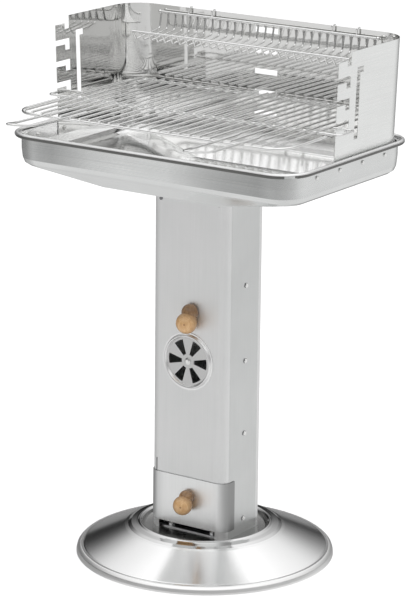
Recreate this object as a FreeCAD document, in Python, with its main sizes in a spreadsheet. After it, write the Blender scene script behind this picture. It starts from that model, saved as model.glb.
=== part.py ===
import FreeCAD, Part
import math
import os
import Sketcher
from FreeCAD import Vector, Placement, Rotation

# Free-standing pedestal charcoal barbecue: spun base dish, rectangular column
# with draught vent, flap and ash drawer, pressed fire tray with rolled rim,
# U-shaped windshield with hook levels, cooking grate and warming rack.
# Frame: +Z up, +X to the user's right, front faces -Y, origin on the floor
# under the centre of the base. Lengths in millimetres.

os.makedirs("parts", exist_ok=True)
doc = FreeCAD.newDocument("PedestalGrill")

# ------------------------------------------------------------------ dimensions
PARAMS = [
    ("base_radius", 220.0), ("base_sheet", 1.2), ("base_crease", 209.0),
    ("base_lip_height", 13.6), ("shoulder_radius", 132.0), ("shoulder_height", 51.0),
    ("bead_radius", 111.0), ("bead_height", 55.0), ("well_radius", 104.0), ("well_floor", 45.5),
    ("col_width", 152.0), ("col_depth", 112.0), ("col_corner", 18.0), ("col_rear_corner", 10.0), ("col_side_end", 40.0),
    ("col_sheet", 1.0), ("col_top", 638.8), ("rear_flange", 66.0),
    ("door_half", 57.0), ("door_top", 140.0),
    ("vent_height", 350.0), ("vent_radius", 50.0), ("vent_inner", 12.0), ("vent_outer", 38.0),
    ("vent_half_angle", 14.0), ("vent_gap", 0.2), ("vent_bore", 2.6),
    ("flap_x", 7.0), ("flap_height", 437.2), ("flap_rod", 3.0), ("flap_half", 62.0), ("flap_depth", 100.0),
    ("flap_sheet", 1.5), ("bush_outer", 5.5), ("bush_flange", 8.0), ("rod_run", 0.05),
    ("knob_bore", 3.1), ("knob_in", 4.0), ("upper_ball", 17.9), ("upper_foot", 14.4), ("upper_foot_y", -62.0), ("upper_back", -58.3),
    ("upper_drop", 16.4), ("upper_reach", 10.1), ("lower_ball", 16.4), ("lower_foot", 12.5), ("lower_foot_y", -64.0), ("lower_back", -58.0),
    ("lower_drop", 11.3), ("lower_reach", 10.6),
    ("cover_low", 60.0), ("cover_high", 146.0), ("cover_back", -27.0), ("cover_gap", 0.5), ("cover_sheet", 1.0),
    ("stud_height", 112.4), ("stud_x", 3.9),
    ("pan_half", 54.0), ("pan_back", 42.0), ("pan_floor", 61.2), ("pan_top", 128.0), ("pan_sheet", 1.0),
    ("runner_top", 61.0), ("runner_inner", 50.0), ("runner_outer", 71.9), ("runner_high", 80.0),
    ("bracket_high", 90.0), ("bracket_sheet", 2.0), ("bracket_half", 73.9), ("bracket_depth", 96.0),
    ("tray_half_x", 274.6), ("tray_half_y", 179.2), ("tray_wall_top", 723.0), ("tray_sheet", 1.2),
    ("rim_half_x", 280.6), ("rim_half_y", 187.3), ("rim_corner", 50.0), ("rim_bead", 4.3), ("rim_height", 724.0),
    ("hopper_top", 671.3), ("panel_half_x", 125.0), ("panel_half_y", 138.0), ("panel_height", 647.4),
    ("throat_half_x", 62.0), ("throat_half_y", 44.0), ("tray_floor", 640.0),
    ("collar_sheet", 1.2), ("collar_half_x", 90.0), ("collar_half_y", 70.0), ("collar_skirt", 28.0),
    ("shield_half", 272.2), ("shield_flare", 7.3), ("shield_back", 172.0), ("shield_front", -51.0), ("shield_edge", -12.6),
    ("shield_corner", 50.0), ("shield_top", 898.4), ("shield_low", 700.0), ("shield_sheet", 1.0),
    ("notch_width", 12.6), ("hook_one", 886.0), ("hook_pitch", 35.55), ("hook_gap", 9.6), ("notch_depth", 9.5),
    ("slot_half", 22.5), ("slot_high", 9.0),
    ("side_slot_front", 5.5), ("side_slot_back", 16.5), ("side_slot_low", 753.0), ("side_slot_jog", 26.0), ("side_slot_high", 871.0),
    ("grate_half", 259.0), ("grate_front", -197.0), ("grate_mid", -45.0), ("grate_back", 158.0),
    ("grate_wire", 2.5), ("grate_bar", 2.0), ("grate_count", 27.0), ("grate_corner", 40.0),
    ("lug_tip", 283.5), ("lug_front", -64.0), ("lug_back", -18.9), ("grate_shift", 4.0), ("grate_turn", 0.8), ("grate_height", 767.45),
    ("handle_x", 168.5), ("handle_tip", -326.0), ("handle_rise", 779.0), ("handle_nose", 7.5), ("handle_taper", -290.0),
    ("rack_half", 214.2), ("rack_pitch", 15.3), ("rack_wall", 162.0), ("rack_bar_z", 888.0), ("rack_wire", 1.6),
    ("rack_bar", 2.2), ("rack_vertex_y", 85.0), ("rack_vertex_z", 851.5), ("rack_front_y", 76.0), ("rack_front_z", 866.0),
    ("coal_half_x", 110.0), ("coal_half_y", 105.0), ("coal_wire", 2.5), ("coal_height", 648.2), ("coal_count", 12.0),
    ("side_screw_y", 2.0), ("side_screw_r", 2.0), ("wall_screw_z", 710.0), ("wall_screw_pitch", 70.0),
]
sheet = doc.addObject("Spreadsheet::Sheet", "Params")
for i, (name, value) in enumerate(PARAMS, start=1):
    sheet.set("A%d" % i, name)
    sheet.set("B%d" % i, repr(value))
    sheet.setAlias("B%d" % i, name)
doc.recompute()
V = dict(PARAMS)


class Q:
    """A length that carries both its value and the sheet expression behind it."""

    def __init__(self, v, t=None):
        self.v = float(v)
        self.t = t

    @staticmethod
    def of(a):
        return a if isinstance(a, Q) else Q(a)

    def text(self):
        return self.t if self.t else "(%r)" % self.v

    def _op(self, o, f, s):
        o = Q.of(o)
        v = f(self.v, o.v)
        if self.t is None and o.t is None:
            return Q(v)
        return Q(v, "(%s %s %s)" % (self.text(), s, o.text()))

    def __add__(self, o):
        return self._op(o, lambda a, b: a + b, "+")

    def __radd__(self, o):
        return Q.of(o)._op(self, lambda a, b: a + b, "+")

    def __sub__(self, o):
        return self._op(o, lambda a, b: a - b, "-")

    def __rsub__(self, o):
        return Q.of(o)._op(self, lambda a, b: a - b, "-")

    def __mul__(self, o):
        return self._op(o, lambda a, b: a * b, "*")

    def __rmul__(self, o):
        return Q.of(o)._op(self, lambda a, b: a * b, "*")

    def __truediv__(self, o):
        return self._op(o, lambda a, b: a / b, "/")

    def __neg__(self):
        return Q(0.0)._op(self, lambda a, b: a - b, "-")


def S(name):
    return Q(V[name], "Params." + name)


BODIES = []


def body(name):
    b = doc.addObject("PartDesign::Body", name)
    b.Label = name
    BODIES.append(b)
    return b


def plane(b, role):
    for f in b.Origin.OriginFeatures:
        if f.Role == role:
            return f
    raise RuntimeError("no plane " + role)


def sketch(b, name, role="XY_Plane", off=None):
    s = b.newObject("Sketcher::SketchObject", name)
    s.AttachmentSupport = [(plane(b, role), "")]
    s.MapMode = "FlatFace"
    if off is not None:
        off = Q.of(off)
        s.AttachmentOffset = Placement(Vector(0, 0, off.v), Rotation())
        if off.t:
            s.setExpression("AttachmentOffset.Base.z", off.t)
    return s


def pin(s, geo, pos, x, y):
    """Fix a sketch point at (x, y), bound to the sheet where it has a name."""
    for q, kind, axis in ((Q.of(x), "DistanceX", -2), (Q.of(y), "DistanceY", -1)):
        if abs(q.v) < 1e-9:
            s.addConstraint(Sketcher.Constraint("PointOnObject", geo, pos, axis))
            continue
        c = s.addConstraint(Sketcher.Constraint(kind, -1, 1, geo, pos, q.v))
        if q.t:
            s.setExpression("Constraints[%d]" % c, q.t)


def pin_one(s, geo, pos, pt, which):
    """Fix the one free coordinate of an arc end (the other follows from the arc)."""
    q = Q.of(pt[1 - which])
    if abs(q.v) < 1e-9:
        s.addConstraint(Sketcher.Constraint("PointOnObject", geo, pos, -2 if which else -1))
        return
    c = s.addConstraint(Sketcher.Constraint("DistanceX" if which else "DistanceY", -1, 1, geo, pos, q.v))
    if q.t:
        s.setExpression("Constraints[%d]" % c, q.t)


def poly(s, pts):
    """Closed polygon through points, every corner pinned."""
    n = len(pts)
    pts = [(Q.of(a), Q.of(b)) for a, b in pts]
    g0 = s.GeometryCount
    for i in range(n):
        a, b = pts[i], pts[(i + 1) % n]
        s.addGeometry(Part.LineSegment(Vector(a[0].v, a[1].v, 0), Vector(b[0].v, b[1].v, 0)), False)
    for i in range(n):
        s.addConstraint(Sketcher.Constraint("Coincident", g0 + i, 2, g0 + (i + 1) % n, 1))
    for i in range(n):
        pin(s, g0 + i, 1, pts[i][0], pts[i][1])


def circle(s, x, y, r):
    x, y, r = Q.of(x), Q.of(y), Q.of(r)
    g = s.addGeometry(Part.Circle(Vector(x.v, y.v, 0), Vector(0, 0, 1), r.v), False)
    pin(s, g, 3, x, y)
    c = s.addConstraint(Sketcher.Constraint("Radius", g, r.v))
    if r.t:
        s.setExpression("Constraints[%d]" % c, r.t)
    return g


def rounded(s, pts, radii):
    """Closed polygon whose corners i are rounded by radii[i] (0 = sharp).
    Straight ends and arc centres are pinned, so the outline follows the sheet."""
    n = len(pts)
    pts = [(Q.of(a), Q.of(b)) for a, b in pts]
    ends = []
    for i in range(n):
        p, a, b = pts[i], pts[i - 1], pts[(i + 1) % n]
        r = Q.of(radii[i])
        if r.v < 1e-9:
            ends.append((p, p, None))
            continue
        # corners here are right angles along the sketch axes
        def sgn(u):
            return 0 if abs(u) < 1e-9 else (1 if u > 0 else -1)
        da = (sgn(a[0].v - p[0].v), sgn(a[1].v - p[1].v))
        db = (sgn(b[0].v - p[0].v), sgn(b[1].v - p[1].v))
        t1 = (p[0] + r * da[0] if da[0] else p[0], p[1] + r * da[1] if da[1] else p[1])
        t2 = (p[0] + r * db[0] if db[0] else p[0], p[1] + r * db[1] if db[1] else p[1])
        c = (p[0] + r * (da[0] + db[0]), p[1] + r * (da[1] + db[1]))
        ends.append((t1, t2, (c, r, da, db)))
    geos = []
    for i in range(n):
        t1, t2, arc = ends[i]
        if arc:
            c, r, da, db = arc
            a1 = math.atan2(t1[1].v - c[1].v, t1[0].v - c[0].v)
            a2 = math.atan2(t2[1].v - c[1].v, t2[0].v - c[0].v)
            ccw = ((a2 - a1) % (2 * math.pi)) < math.pi
            lo, hi = (a1, a2) if ccw else (a2, a1)
            if hi < lo:
                hi += 2 * math.pi
            g = s.addGeometry(Part.ArcOfCircle(Part.Circle(Vector(c[0].v, c[1].v, 0), Vector(0, 0, 1), r.v), lo, hi), False)
            geos.append((g, 1 if ccw else 2, 2 if ccw else 1))
            pin(s, g, 3, c[0], c[1])
            pin(s, g, 1 if ccw else 2, t1[0], t1[1])
            pin_one(s, g, 2 if ccw else 1, t2, 1 if db[0] != 0 else 0)
        nx = ends[(i + 1) % n][0]
        if abs(nx[0].v - t2[0].v) > 1e-9 or abs(nx[1].v - t2[1].v) > 1e-9:
            g = s.addGeometry(Part.LineSegment(Vector(t2[0].v, t2[1].v, 0), Vector(nx[0].v, nx[1].v, 0)), False)
            geos.append((g, 1, 2))
            if not arc:
                pin(s, g, 1, t2[0], t2[1])
    m = len(geos)
    for i in range(m):
        a, b = geos[i], geos[(i + 1) % m]
        s.addConstraint(Sketcher.Constraint("Coincident", a[0], a[2], b[0], b[1]))
    return geos


def pad(b, s, name, length, reverse=False, mid=False):
    f = b.newObject("PartDesign::Pad", name)
    f.Profile = s
    q = Q.of(length)
    f.Length = q.v
    if q.t:
        f.setExpression("Length", q.t)
    f.Reversed = reverse
    f.Midplane = mid
    return f


def pocket(b, s, name, length=None, reverse=False, mid=False):
    f = b.newObject("PartDesign::Pocket", name)
    f.Profile = s
    if length is None:
        f.Type = 1
    else:
        q = Q.of(length)
        f.Type = 0
        f.Length = q.v
        if q.t:
            f.setExpression("Length", q.t)
    f.Reversed = reverse
    f.Midplane = mid
    return f


def revolve(b, s, name, axis="V_Axis"):
    f = b.newObject("PartDesign::Revolution", name)
    f.Profile = s
    f.ReferenceAxis = (s, [axis])
    f.Angle = 360.0
    return f


CUT_LOG = []


def cut_checked(b, f):
    """A pocket must take material away: compare volumes, flip it if it did not."""
    doc.recompute()
    base = f.BaseFeature.Shape.Volume
    if base - f.Shape.Volume < 1.0:
        f.Reversed = not f.Reversed
        doc.recompute()
    CUT_LOG.append((b.Name, f.Name, round(base - f.Shape.Volume, 1)))
    if base - f.Shape.Volume < 1.0:
        raise RuntimeError("pocket %s cuts nothing" % f.Name)


FEATS = []


def feature(name, shape):
    o = doc.addObject("Part::Feature", name)
    o.Label = name
    seat = shape.Placement
    o.Shape = shape
    o.Placement = seat
    FEATS.append(o)
    return o


def fuse(shapes):
    out = shapes[0]
    if len(shapes) > 1:
        out = out.multiFuse(shapes[1:])
    return out.removeSplitter()


def cyl(p, d, r, h):
    return Part.makeCylinder(r, h, Vector(*p), Vector(*d))


def prism(cx, cy, z, r, h, d=(0, 0, 1), n=6, turn=0.0):
    """Hexagonal prism (nut or bolt head); r is half the across-flats size."""
    rr = r / math.cos(math.pi / n)
    pts = [Vector(rr * math.cos(turn + 2 * math.pi * k / n), rr * math.sin(turn + 2 * math.pi * k / n), 0) for k in range(n)]
    pts.append(pts[0])
    f = Part.Face(Part.makePolygon(pts))
    s = f.extrude(Vector(0, 0, h))
    s.Placement = Placement(Vector(cx, cy, z), Rotation(Vector(0, 0, 1), Vector(*d)))
    return s


def route(points, bend):
    """Edges of a path: straight runs joined by tangent arcs of the bend radius."""
    pts = [Vector(*p) for p in points]
    closed = (pts[0] - pts[-1]).Length < 1e-6
    if closed:
        pts = pts[:-1]
    n = len(pts)
    bends = bend if isinstance(bend, (list, tuple)) else [bend] * n
    corner = {}
    rng = range(n) if closed else range(1, n - 1)
    for i in rng:
        a, p, c = pts[i - 1], pts[i], pts[(i + 1) % n]
        u = (a - p).normalize()
        w = (c - p).normalize()
        ang = u.getAngle(w)
        r = bends[i]
        d = r / math.tan(ang / 2)
        bis = (u + w).normalize()
        centre = p + bis * (r / math.sin(ang / 2))
        mid = centre - bis * r
        corner[i] = (p + u * d, mid, p + w * d)
    edges = []
    order = list(range(n)) + ([0] if closed else [])
    for k in range(len(order) - 1):
        i, j = order[k], order[k + 1]
        s = corner[i][2] if i in corner else pts[i]
        e = corner[j][0] if j in corner else pts[j]
        if (s - e).Length > 1e-6:
            edges.append(Part.LineSegment(s, e).toShape())
        if j in corner and (k < len(order) - 2 or closed):
            edges.append(Part.Arc(*corner[j]).toShape())
    return edges


def wire_rod(points, r, bend):
    """Round wire of radius r along a path."""
    edges = route(points, bend)
    w = Part.Wire(Part.__sortEdges__(edges))
    e0 = w.OrderedEdges[0]
    p0 = e0.valueAt(e0.FirstParameter)
    t0 = e0.tangentAt(e0.FirstParameter)
    v0 = w.OrderedVertexes[0].Point
    if (v0 - p0).Length > 1e-6:
        p0 = e0.valueAt(e0.LastParameter)
        t0 = e0.tangentAt(e0.LastParameter) * -1
    prof = Part.Wire(Part.Circle(p0, t0, r).toShape())
    s = w.makePipeShell([prof], True, False)
    if s.Volume < 0:
        s.reverse()
    return s


def section(path, r):
    """Round section at a path's start, its seam turned to the underside."""
    e = path.OrderedEdges[0]
    p, t = e.valueAt(e.FirstParameter), e.tangentAt(e.FirstParameter)
    c = Part.Circle(p, t, r).toShape()
    u = (c.valueAt(c.FirstParameter) - p).normalize()
    low = Vector(0, 0, -1)
    ang = math.degrees(math.atan2(u.cross(low).dot(t), u.dot(low)))
    c.rotate(p, t, ang)
    return Part.Wire(c)


def rrect(hx, hy, r, z, y0=None, y1=None):
    """Rounded rectangle wire centred on the Z axis at height z."""
    ya = -hy if y0 is None else y0
    yb = hy if y1 is None else y1
    k = r * (1 - math.sqrt(0.5))
    P = lambda x, y: Vector(x, y, z)
    e = [
        Part.LineSegment(P(-hx + r, ya), P(hx - r, ya)).toShape(),
        Part.Arc(P(hx - r, ya), P(hx - k, ya + k), P(hx, ya + r)).toShape(),
        Part.LineSegment(P(hx, ya + r), P(hx, yb - r)).toShape(),
        Part.Arc(P(hx, yb - r), P(hx - k, yb - k), P(hx - r, yb)).toShape(),
        Part.LineSegment(P(hx - r, yb), P(-hx + r, yb)).toShape(),
        Part.Arc(P(-hx + r, yb), P(-hx + k, yb - k), P(-hx, yb - r)).toShape(),
        Part.LineSegment(P(-hx, yb - r), P(-hx, ya + r)).toShape(),
        Part.Arc(P(-hx, ya + r), P(-hx + k, ya + k), P(-hx + r, ya)).toShape(),
    ]
    return Part.Wire(e)


# ------------------------------------------------------------------ base dish
# Spun sheet dish: turned-down lip standing on the floor, cone, bead ring and a
# sunk well in which the column stands.
b = body("base_dish")
s = sketch(b, "base_profile", "XZ_Plane")
R, t = S("base_radius"), S("base_sheet")
zf = S("well_floor")
top = [
    (Q(0), zf), (S("well_radius") - 1.5, zf), (S("well_radius") + 0.2, zf + 1.6),
    (S("bead_radius") - 4.2, S("bead_height") - 3.4), (S("bead_radius") - 2.6, S("bead_height") - 1.0),
    (S("bead_radius"), S("bead_height")), (S("bead_radius") + 2.8, S("bead_height") - 0.8),
    (S("bead_radius") + 5.0, S("bead_height") - 2.2), (S("shoulder_radius") - 7.0, S("shoulder_height") + 1.2),
    (S("shoulder_radius") - 2.5, S("shoulder_height") + 0.8), (S("shoulder_radius"), S("shoulder_height")),
    (S("shoulder_radius") + 4.0, S("shoulder_height") - 1.7),
    (S("base_crease") - 2.0, S("base_lip_height") + 0.8), (S("base_crease"), S("base_lip_height")),
    (S("base_crease") + 3.6, S("base_lip_height") - 0.5), (R - 3.4, S("base_lip_height") - 3.9),
    (R - 1.0, S("base_lip_height") - 8.0), (R, Q(2.0)), (R, Q(0)),
]
bot = [
    (R - t, Q(0)), (R - t, Q(1.9)), (R - t - 1.0, S("base_lip_height") - 8.5), (R - t - 3.2, S("base_lip_height") - 5.0),
    (S("base_crease") + 3.0, S("base_lip_height") - 1.8), (S("base_crease") - 0.4, S("base_lip_height") - 1.25),
    (S("base_crease") - 2.6, S("base_lip_height") - 0.45),
    (S("shoulder_radius") + 3.4, S("shoulder_height") - 2.9), (S("shoulder_radius") - 0.5, S("shoulder_height") - 1.25),
    (S("shoulder_radius") - 2.8, S("shoulder_height") - 0.45), (S("shoulder_radius") - 7.0, S("shoulder_height") - 0.05),
    (S("bead_radius") + 4.4, S("bead_height") - 3.3), (S("bead_radius") + 2.2, S("bead_height") - 1.95),
    (S("bead_radius"), S("bead_height") - 1.25), (S("bead_radius") - 1.7, S("bead_height") - 1.9),
    (S("bead_radius") - 3.0, S("bead_height") - 3.9), (S("well_radius") + 1.4, zf + 1.1),
    (S("well_radius") - 1.0, zf - t), (Q(0), zf - t),
]
poly(s, top + bot)
revolve(b, s, "base_spin")
doc.recompute()
# holes for the four bracket bolts
s = sketch(b, "base_bolt_holes", "XY_Plane", S("well_floor") + 5.0)
for x in (-42.0, 42.0):
    for y in (-38.0, 38.0):
        circle(s, x, y, 3.3)
f = pocket(b, s, "base_bolt_cut", 12.0)
cut_checked(b, f)

# ------------------------------------------------------------------ foot bracket
# U bracket screwed to the well floor; its upright flanges carry the column.
b = body("foot_bracket")
s = sketch(b, "foot_section", "XZ_Plane")
h, bt, z0 = S("bracket_half"), S("bracket_sheet"), S("well_floor")
poly(s, [(-h, z0), (h, z0), (h, S("bracket_high")), (h - bt, S("bracket_high")), (h - bt, z0 + bt),
         (bt - h, z0 + bt), (bt - h, S("bracket_high")), (-h, S("bracket_high"))])
pad(b, s, "foot_pad", S("bracket_depth"), mid=True)
doc.recompute()
# flanges are narrower than the floor plate
s = sketch(b, "foot_flange_trim", "YZ_Plane")
for sg in (-1, 1):
    poly(s, [(sg * 24.0, z0 + 8.0), (sg * 49.0, z0 + 8.0), (sg * 49.0, S("bracket_high") + 1.0), (sg * 24.0, S("bracket_high") + 1.0)])
f = pocket(b, s, "foot_trim", None)
f.Midplane = True
cut_checked(b, f)
s = sketch(b, "foot_window", "XY_Plane", z0 + 9.0)
poly(s, [(-50.0, -24.0), (50.0, -24.0), (50.0, 24.0), (-50.0, 24.0)])
for x in (-42.0, 42.0):
    for y in (-38.0, 38.0):
        circle(s, x, y, 3.1)
for sg in (-1, 1):
    poly(s, [(sg * 66.0, -50.0), (sg * 76.0, -50.0), (sg * 76.0, -40.0)])
    poly(s, [(sg * 66.0, 50.0), (sg * 76.0, 50.0), (sg * 76.0, 40.0)])
f = pocket(b, s, "foot_window_cut", 14.0)
cut_checked(b, f)
s = sketch(b, "foot_screw_holes", "YZ_Plane")
circle(s, S("side_screw_y"), 71.5, 2.3)
f = pocket(b, s, "foot_screw_cut", None)
f.Midplane = True
cut_checked(b, f)

# ------------------------------------------------------------------ column, front shell
b = body("column_front_shell")
s = sketch(b, "front_outline", "XY_Plane", S("well_floor"))
hw, hd, ct, cr = S("col_width") / 2, S("col_depth") / 2, S("col_sheet"), S("col_corner")
he = S("col_side_end")
rounded(s, [(-hw, he), (-hw, -hd), (hw, -hd), (hw, he), (hw - ct, he), (hw - ct, ct - hd), (ct - hw, ct - hd), (ct - hw, he)],
        [0, cr, cr, 0, 0, cr - ct, cr - ct, 0])
pad(b, s, "front_pad", S("col_top") - S("well_floor"))
doc.recompute()
s = sketch(b, "front_door", "XZ_Plane", Q(40.0))
dh = S("door_half")
rounded(s, [(-dh, S("well_floor") - 1.0), (dh, S("well_floor") - 1.0), (dh, S("door_top")), (-dh, S("door_top"))], [0, 0, 6.0, 6.0])
f = pocket(b, s, "front_door_cut", 20.0)
cut_checked(b, f)


def wedge(s, zc, r0, r1, half, k):
    """One wedge opening k of six, straight out from the vent centre."""
    a = math.radians(60.0 * k)
    half = math.radians(half)
    def at(r, ang):
        return Vector(r * math.cos(ang), zc + r * math.sin(ang), 0)
    c = Vector(0, zc, 0)
    g1 = s.addGeometry(Part.ArcOfCircle(Part.Circle(c, Vector(0, 0, 1), r1), a - half, a + half), False)
    g0 = s.addGeometry(Part.ArcOfCircle(Part.Circle(c, Vector(0, 0, 1), r0), a - half * 1.05, a + half * 1.05), False)
    p = at(r1, a + half)
    q = at(r0, a + half * 1.05)
    l1 = s.addGeometry(Part.LineSegment(p, q), False)
    p2 = at(r0, a - half * 1.05)
    q2 = at(r1, a - half)
    l2 = s.addGeometry(Part.LineSegment(p2, q2), False)
    s.addConstraint(Sketcher.Constraint("Coincident", g1, 2, l1, 1))
    s.addConstraint(Sketcher.Constraint("Coincident", l1, 2, g0, 2))
    s.addConstraint(Sketcher.Constraint("Coincident", g0, 1, l2, 1))
    s.addConstraint(Sketcher.Constraint("Coincident", l2, 2, g1, 1))
    return g1, g0


s = sketch(b, "front_vent", "XZ_Plane", Q(40.0))
for k in range(6):
    wedge(s, V["vent_height"], V["vent_inner"] + 0.5, V["vent_outer"] + 1.5, V["vent_half_angle"] + 1.0, k)
circle(s, 0, S("vent_height"), S("vent_bore") - 0.05)
circle(s, S("flap_x"), S("flap_height"), S("bush_outer"))
for sg in (-1, 1):
    circle(s, sg * 56.5, 622.0, 1.7)
rounded(s, [(-63.4, 144.0), (-61.4, 144.0), (-61.4, 169.0), (-63.4, 169.0)], [0, 0, 0, 0])
f = pocket(b, s, "front_vent_cut", 20.0)
cut_checked(b, f)
s = sketch(b, "front_side_holes", "YZ_Plane")
for z in (71.5, 223.0, 350.0, 480.5):
    circle(s, S("side_screw_y"), z, 2.1)
f = pocket(b, s, "front_side_cut", None)
f.Midplane = True
cut_checked(b, f)

# ------------------------------------------------------------------ column, rear shell
b = body("column_rear_shell")
s = sketch(b, "rear_outline", "XY_Plane", S("well_floor"))
rw = hw - ct
fl = hd - S("rear_flange")
rr_ = S("col_rear_corner")
rounded(s, [(-rw, fl), (ct - rw, fl), (ct - rw, hd - ct), (rw - ct, hd - ct), (rw - ct, fl), (rw, fl), (rw, hd), (-rw, hd)],
        [0, 0, rr_ - ct, rr_ - ct, 0, 0, rr_, rr_])
pad(b, s, "rear_pad", S("col_top") - S("well_floor"))
doc.recompute()
s = sketch(b, "rear_holes", "XZ_Plane", Q(-70.0))
circle(s, S("flap_x"), S("flap_height"), S("bush_outer"))
for sg in (-1, 1):
    circle(s, sg * 50.0, 622.0, 1.7)
f = pocket(b, s, "rear_cut", 30.0)
cut_checked(b, f)
s = sketch(b, "rear_side_holes", "YZ_Plane")
for z in (71.5, 223.0, 350.0, 480.5):
    circle(s, S("side_screw_y"), z, 2.1)
f = pocket(b, s, "rear_side_cut", None)
f.Midplane = True
cut_checked(b, f)

# ------------------------------------------------------------------ drawer runners
for name, sg in (("drawer_runner_left", -1), ("drawer_runner_right", 1)):
    b = body(name)
    s = sketch(b, name + "_section", "XZ_Plane")
    ro, ri, rt = S("runner_outer"), S("runner_inner"), S("runner_top")
    poly(s, [(sg * ri, rt - 1.0), (sg * ro, rt - 1.0), (sg * ro, S("runner_high")), (sg * (ro - 1.0), S("runner_high")),
             (sg * (ro - 1.0), rt), (sg * ri, rt)])
    pad(b, s, name + "_pad", 90.0, mid=True)
    doc.recompute()
    s = sketch(b, name + "_hole", "YZ_Plane")
    circle(s, S("side_screw_y"), 71.5, 2.1)
    f = pocket(b, s, name + "_cut", None)
    f.Midplane = True
    cut_checked(b, f)

# ------------------------------------------------------------------ collar between column and tray
b = body("column_collar")
s = sketch(b, "collar_flange", "XY_Plane", S("tray_floor") - S("collar_sheet"))
cx_, cy_ = S("collar_half_x"), S("collar_half_y")
rounded(s, [(-cx_, -cy_), (cx_, -cy_), (cx_, cy_), (-cx_, cy_)], [8.0, 8.0, 8.0, 8.0])
ix, iy = S("throat_half_x"), S("throat_half_y")
rounded(s, [(-ix, -iy), (ix, -iy), (ix, iy), (-ix, iy)], [6.0, 6.0, 6.0, 6.0])
for x in (-83.0, 83.0):
    for y in (-46.0, 46.0):
        circle(s, x, y, 2.6)
pad(b, s, "collar_flange_pad", S("collar_sheet"))
doc.recompute()
s = sketch(b, "collar_tabs", "XY_Plane", S("tray_floor") - S("collar_sheet"))
ctab = S("collar_sheet")
yf = ct - hd + 0.3
poly(s, [(-59.5, yf), (-46.0, yf), (-46.0, yf + ctab), (-59.5, yf + ctab)])
poly(s, [(46.0, yf), (59.5, yf), (59.5, yf + ctab), (46.0, yf + ctab)])
yb_ = hd - ct - 0.15
poly(s, [(-60.0, yb_ - ctab), (60.0, yb_ - ctab), (60.0, yb_), (-60.0, yb_)])
xi = hw - ct * 2 - 0.15
for sg in (-1, 1):
    poly(s, [(sg * (xi - ctab), -34.0), (sg * xi, -34.0), (sg * xi, 34.0), (sg * (xi - ctab), 34.0)])
f = pad(b, s, "collar_tab_pad", S("collar_skirt"), reverse=True)
doc.recompute()
s = sketch(b, "collar_screw_holes", "XZ_Plane", Q(60.0))
for sg in (-1, 1):
    circle(s, sg * 56.5, 622.0, 1.7)
f = pocket(b, s, "collar_front_cut", 12.0)
cut_checked(b, f)
s = sketch(b, "collar_rear_holes", "XZ_Plane", Q(-60.0))
for sg in (-1, 1):
    circle(s, sg * 50.0, 622.0, 1.7)
f = pocket(b, s, "collar_rear_cut", 12.0)
cut_checked(b, f)

# ------------------------------------------------------------------ draught vent
def spun(name, pts, place, label_axis="V_Axis"):
    """Revolved body: profile points are (radius, height) about the local Z axis."""
    bb = body(name)
    ss = sketch(bb, name + "_profile", "XZ_Plane")
    poly(ss, pts)
    revolve(bb, ss, name + "_spin", label_axis)
    bb.Placement = place
    return bb


FACE_OUT = Rotation(Vector(1, 0, 0), 90)          # local Z points to the front (-Y)
vr, vb = S("vent_radius"), S("vent_bore")
b = spun("vent_disc", [
    (vb, 0), (vr - 8.2, 0), (vr - 6.8, 2.6), (vr - 6.1, 3.5), (vr - 5.5, 3.8), (vr - 4.9, 3.5), (vr - 4.2, 2.6), (vr - 3.0, 0.0),
    (vr, 0), (vr, 1.0), (vr - 2.4, 1.0), (vr - 3.3, 3.1), (vr - 4.3, 4.5), (vr - 5.5, 4.9), (vr - 6.7, 4.5), (vr - 7.7, 3.1),
    (vr - 8.9, 1.0), (vb, 1.0)],
    Placement(Vector(0, -V["col_depth"] / 2 - V["vent_gap"], V["vent_height"]), FACE_OUT))
b.setExpression("Placement.Base.y", "-Params.col_depth / 2 - Params.vent_gap")
b.setExpression("Placement.Base.z", "Params.vent_height")
doc.recompute()
s = sketch(b, "vent_wedge", "XY_Plane", Q(8.0))
g1, g0 = wedge(s, 0.0, V["vent_inner"], V["vent_outer"], V["vent_half_angle"], 0)
for g, al in ((g1, "vent_outer"), (g0, "vent_inner")):
    s.addConstraint(Sketcher.Constraint("Coincident", g, 3, -1, 1))
    c = s.addConstraint(Sketcher.Constraint("Radius", g, V[al]))
    s.setExpression("Constraints[%d]" % c, "Params." + al)
f = pocket(b, s, "vent_wedge_cut", 12.0)
cut_checked(b, f)
pp = b.newObject("PartDesign::PolarPattern", "vent_six")
pp.Originals = [f]
pp.Axis = (s, ["N_Axis"])
pp.Angle = 360.0
pp.Occurrences = 6
b.Tip = pp
doc.recompute()

yface = -V["col_depth"] / 2
zv = V["vent_height"]
rb = V["vent_bore"] - 0.1
head = Part.makeCylinder(6.0, 0.8, Vector(0, yface - 1.3, zv), Vector(0, -1, 0))
dome = Part.makeCone(6.0, 3.0, 1.1, Vector(0, yface - 2.1, zv), Vector(0, -1, 0))
shank = Part.makeCylinder(rb, 3.4, Vector(0, yface - 1.3, zv), Vector(0, 1, 0))
tail = Part.makeCylinder(4.4, 1.1, Vector(0, yface + 1.8, zv), Vector(0, 1, 0))
feature("vent_rivet", fuse([head, dome, shank, tail]))
feature("vent_washer", Part.makeCylinder(7.5, 0.8, Vector(0, yface + 1.0, zv), Vector(0, 1, 0)).cut(
    Part.makeCylinder(rb, 2.0, Vector(0, yface + 0.5, zv), Vector(0, 1, 0))))

# ------------------------------------------------------------------ draught flap in the column
fx, fz = V["flap_x"], V["flap_height"]
rr = V["flap_rod"]


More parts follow.
